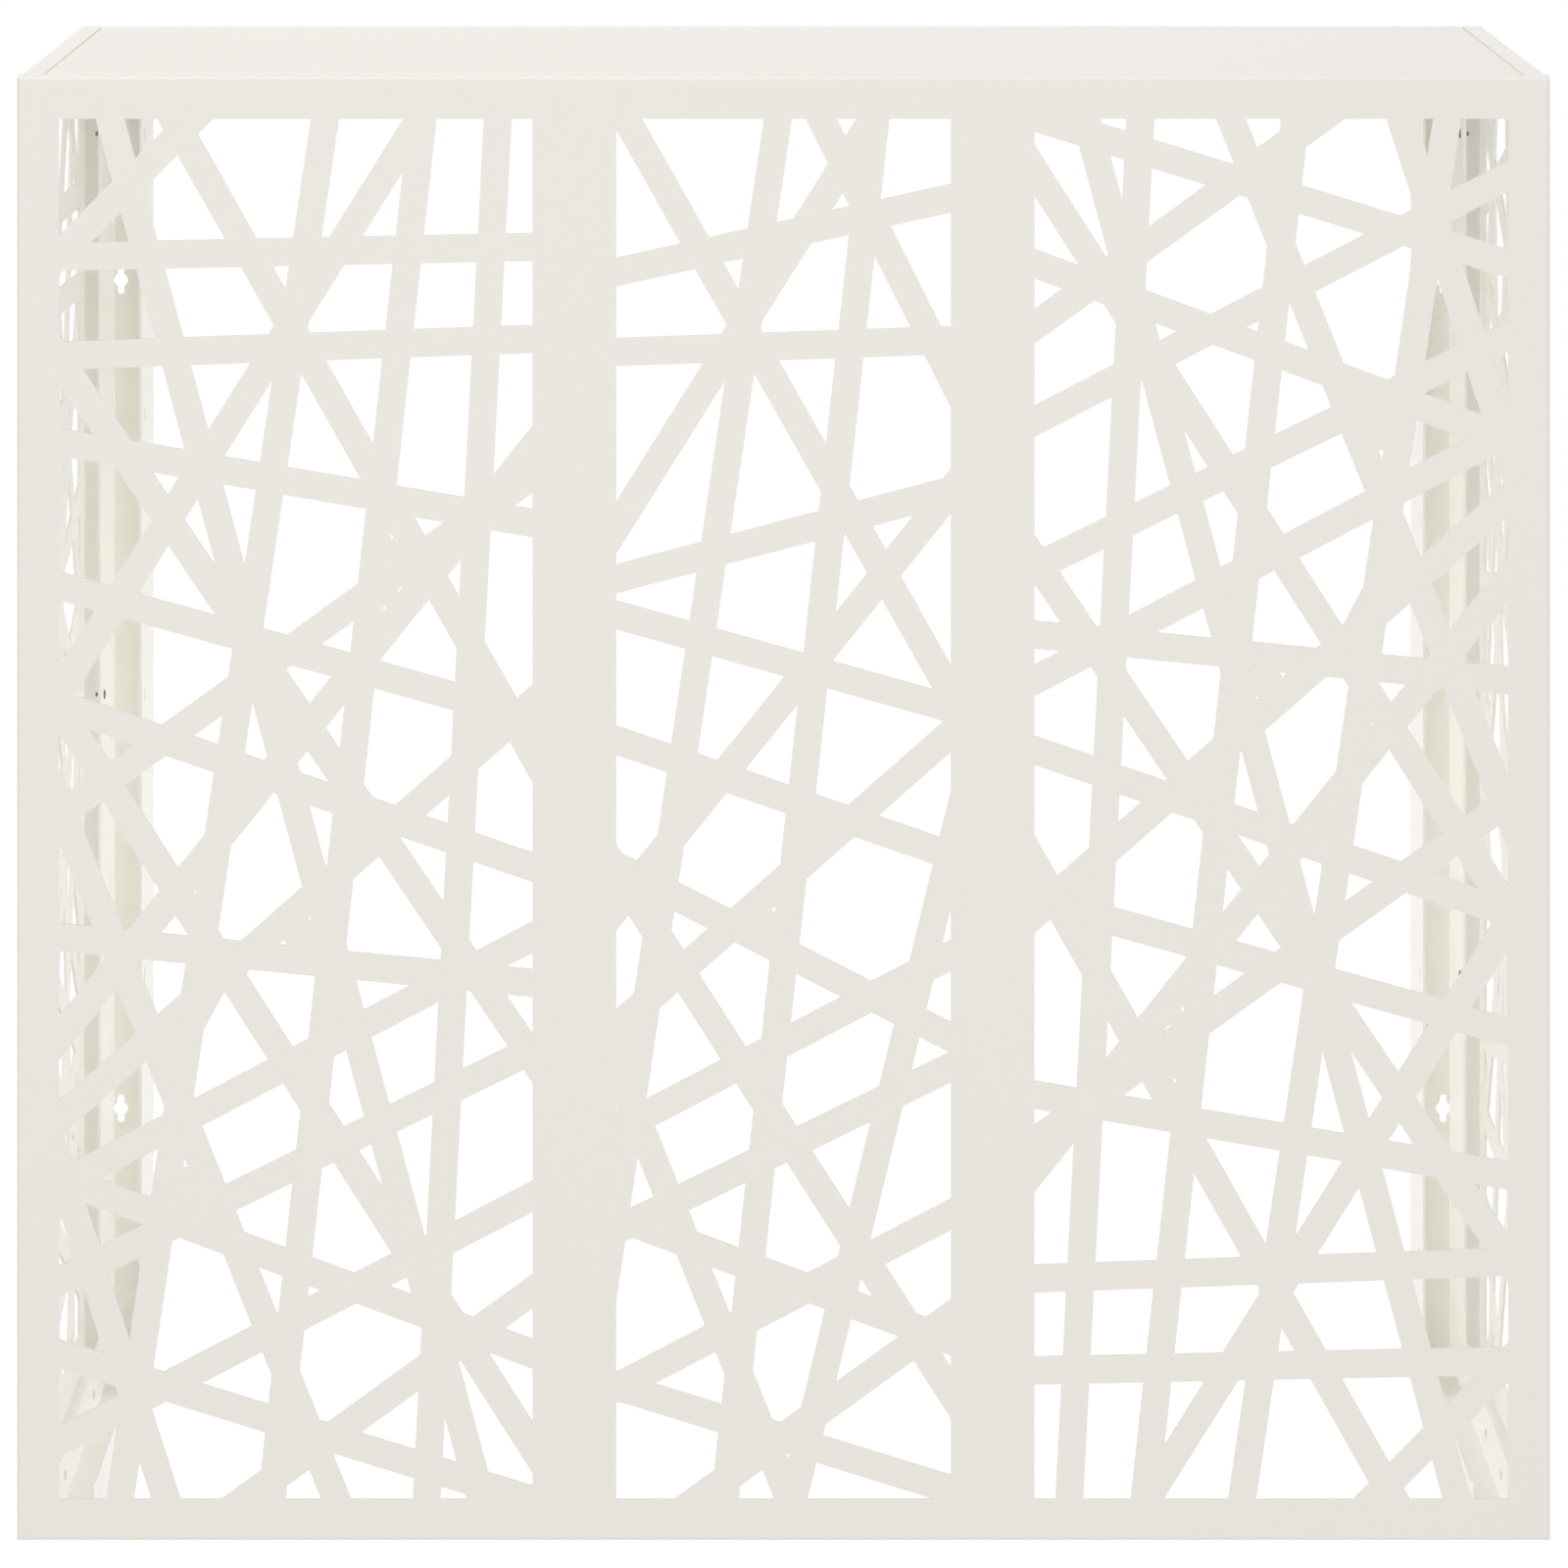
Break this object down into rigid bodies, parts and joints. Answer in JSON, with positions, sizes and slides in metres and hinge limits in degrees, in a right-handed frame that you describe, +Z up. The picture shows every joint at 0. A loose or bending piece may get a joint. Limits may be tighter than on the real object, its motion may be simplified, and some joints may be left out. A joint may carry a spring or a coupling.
{
  "type": "wall-hung lattice screen cover",
  "caption": "Wall-hung box screen of folded sheet: lattice front and sides, solid top, open back and bottom, keyhole wall brackets.",
  "frame": {"origin": "middle of the bottom face of the box", "axes": "+Z up, -Y out of the lattice front, +Y towards the wall, +X to the right as seen from the front"},
  "size_m": [1.1, 0.45, 1.05],
  "materials": {
    "powder_coat": "satin off-white powder coat with a fine orange-peel",
    "dark_screws": "dark zinc plating",
    "plated_screws": "bright zinc plating",
    "plated_nuts": "bright zinc plating"
  },
  "bodies": {
    "root": {"front_panel": "powder_coat", "top_panel": "powder_coat", "left_side_panel": "powder_coat", "right_side_panel": "powder_coat", "left_wall_bracket": "powder_coat", "right_wall_bracket": "powder_coat", "left_bottom_rail": "powder_coat", "right_bottom_rail": "powder_coat", "front_left_nuts": "plated_nuts", "front_right_nuts": "plated_nuts", "front_top_nuts": "plated_nuts", "top_left_nuts": "plated_nuts", "top_right_nuts": "plated_nuts", "front_left_screws": "plated_screws", "front_right_screws": "plated_screws", "front_top_screws": "plated_screws", "top_left_screws": "plated_screws", "top_right_screws": "plated_screws", "left_bracket_screws": "dark_screws", "right_bracket_screws": "dark_screws", "left_rail_screws": "dark_screws", "right_rail_screws": "dark_screws"}
  },
  "joints": []
}
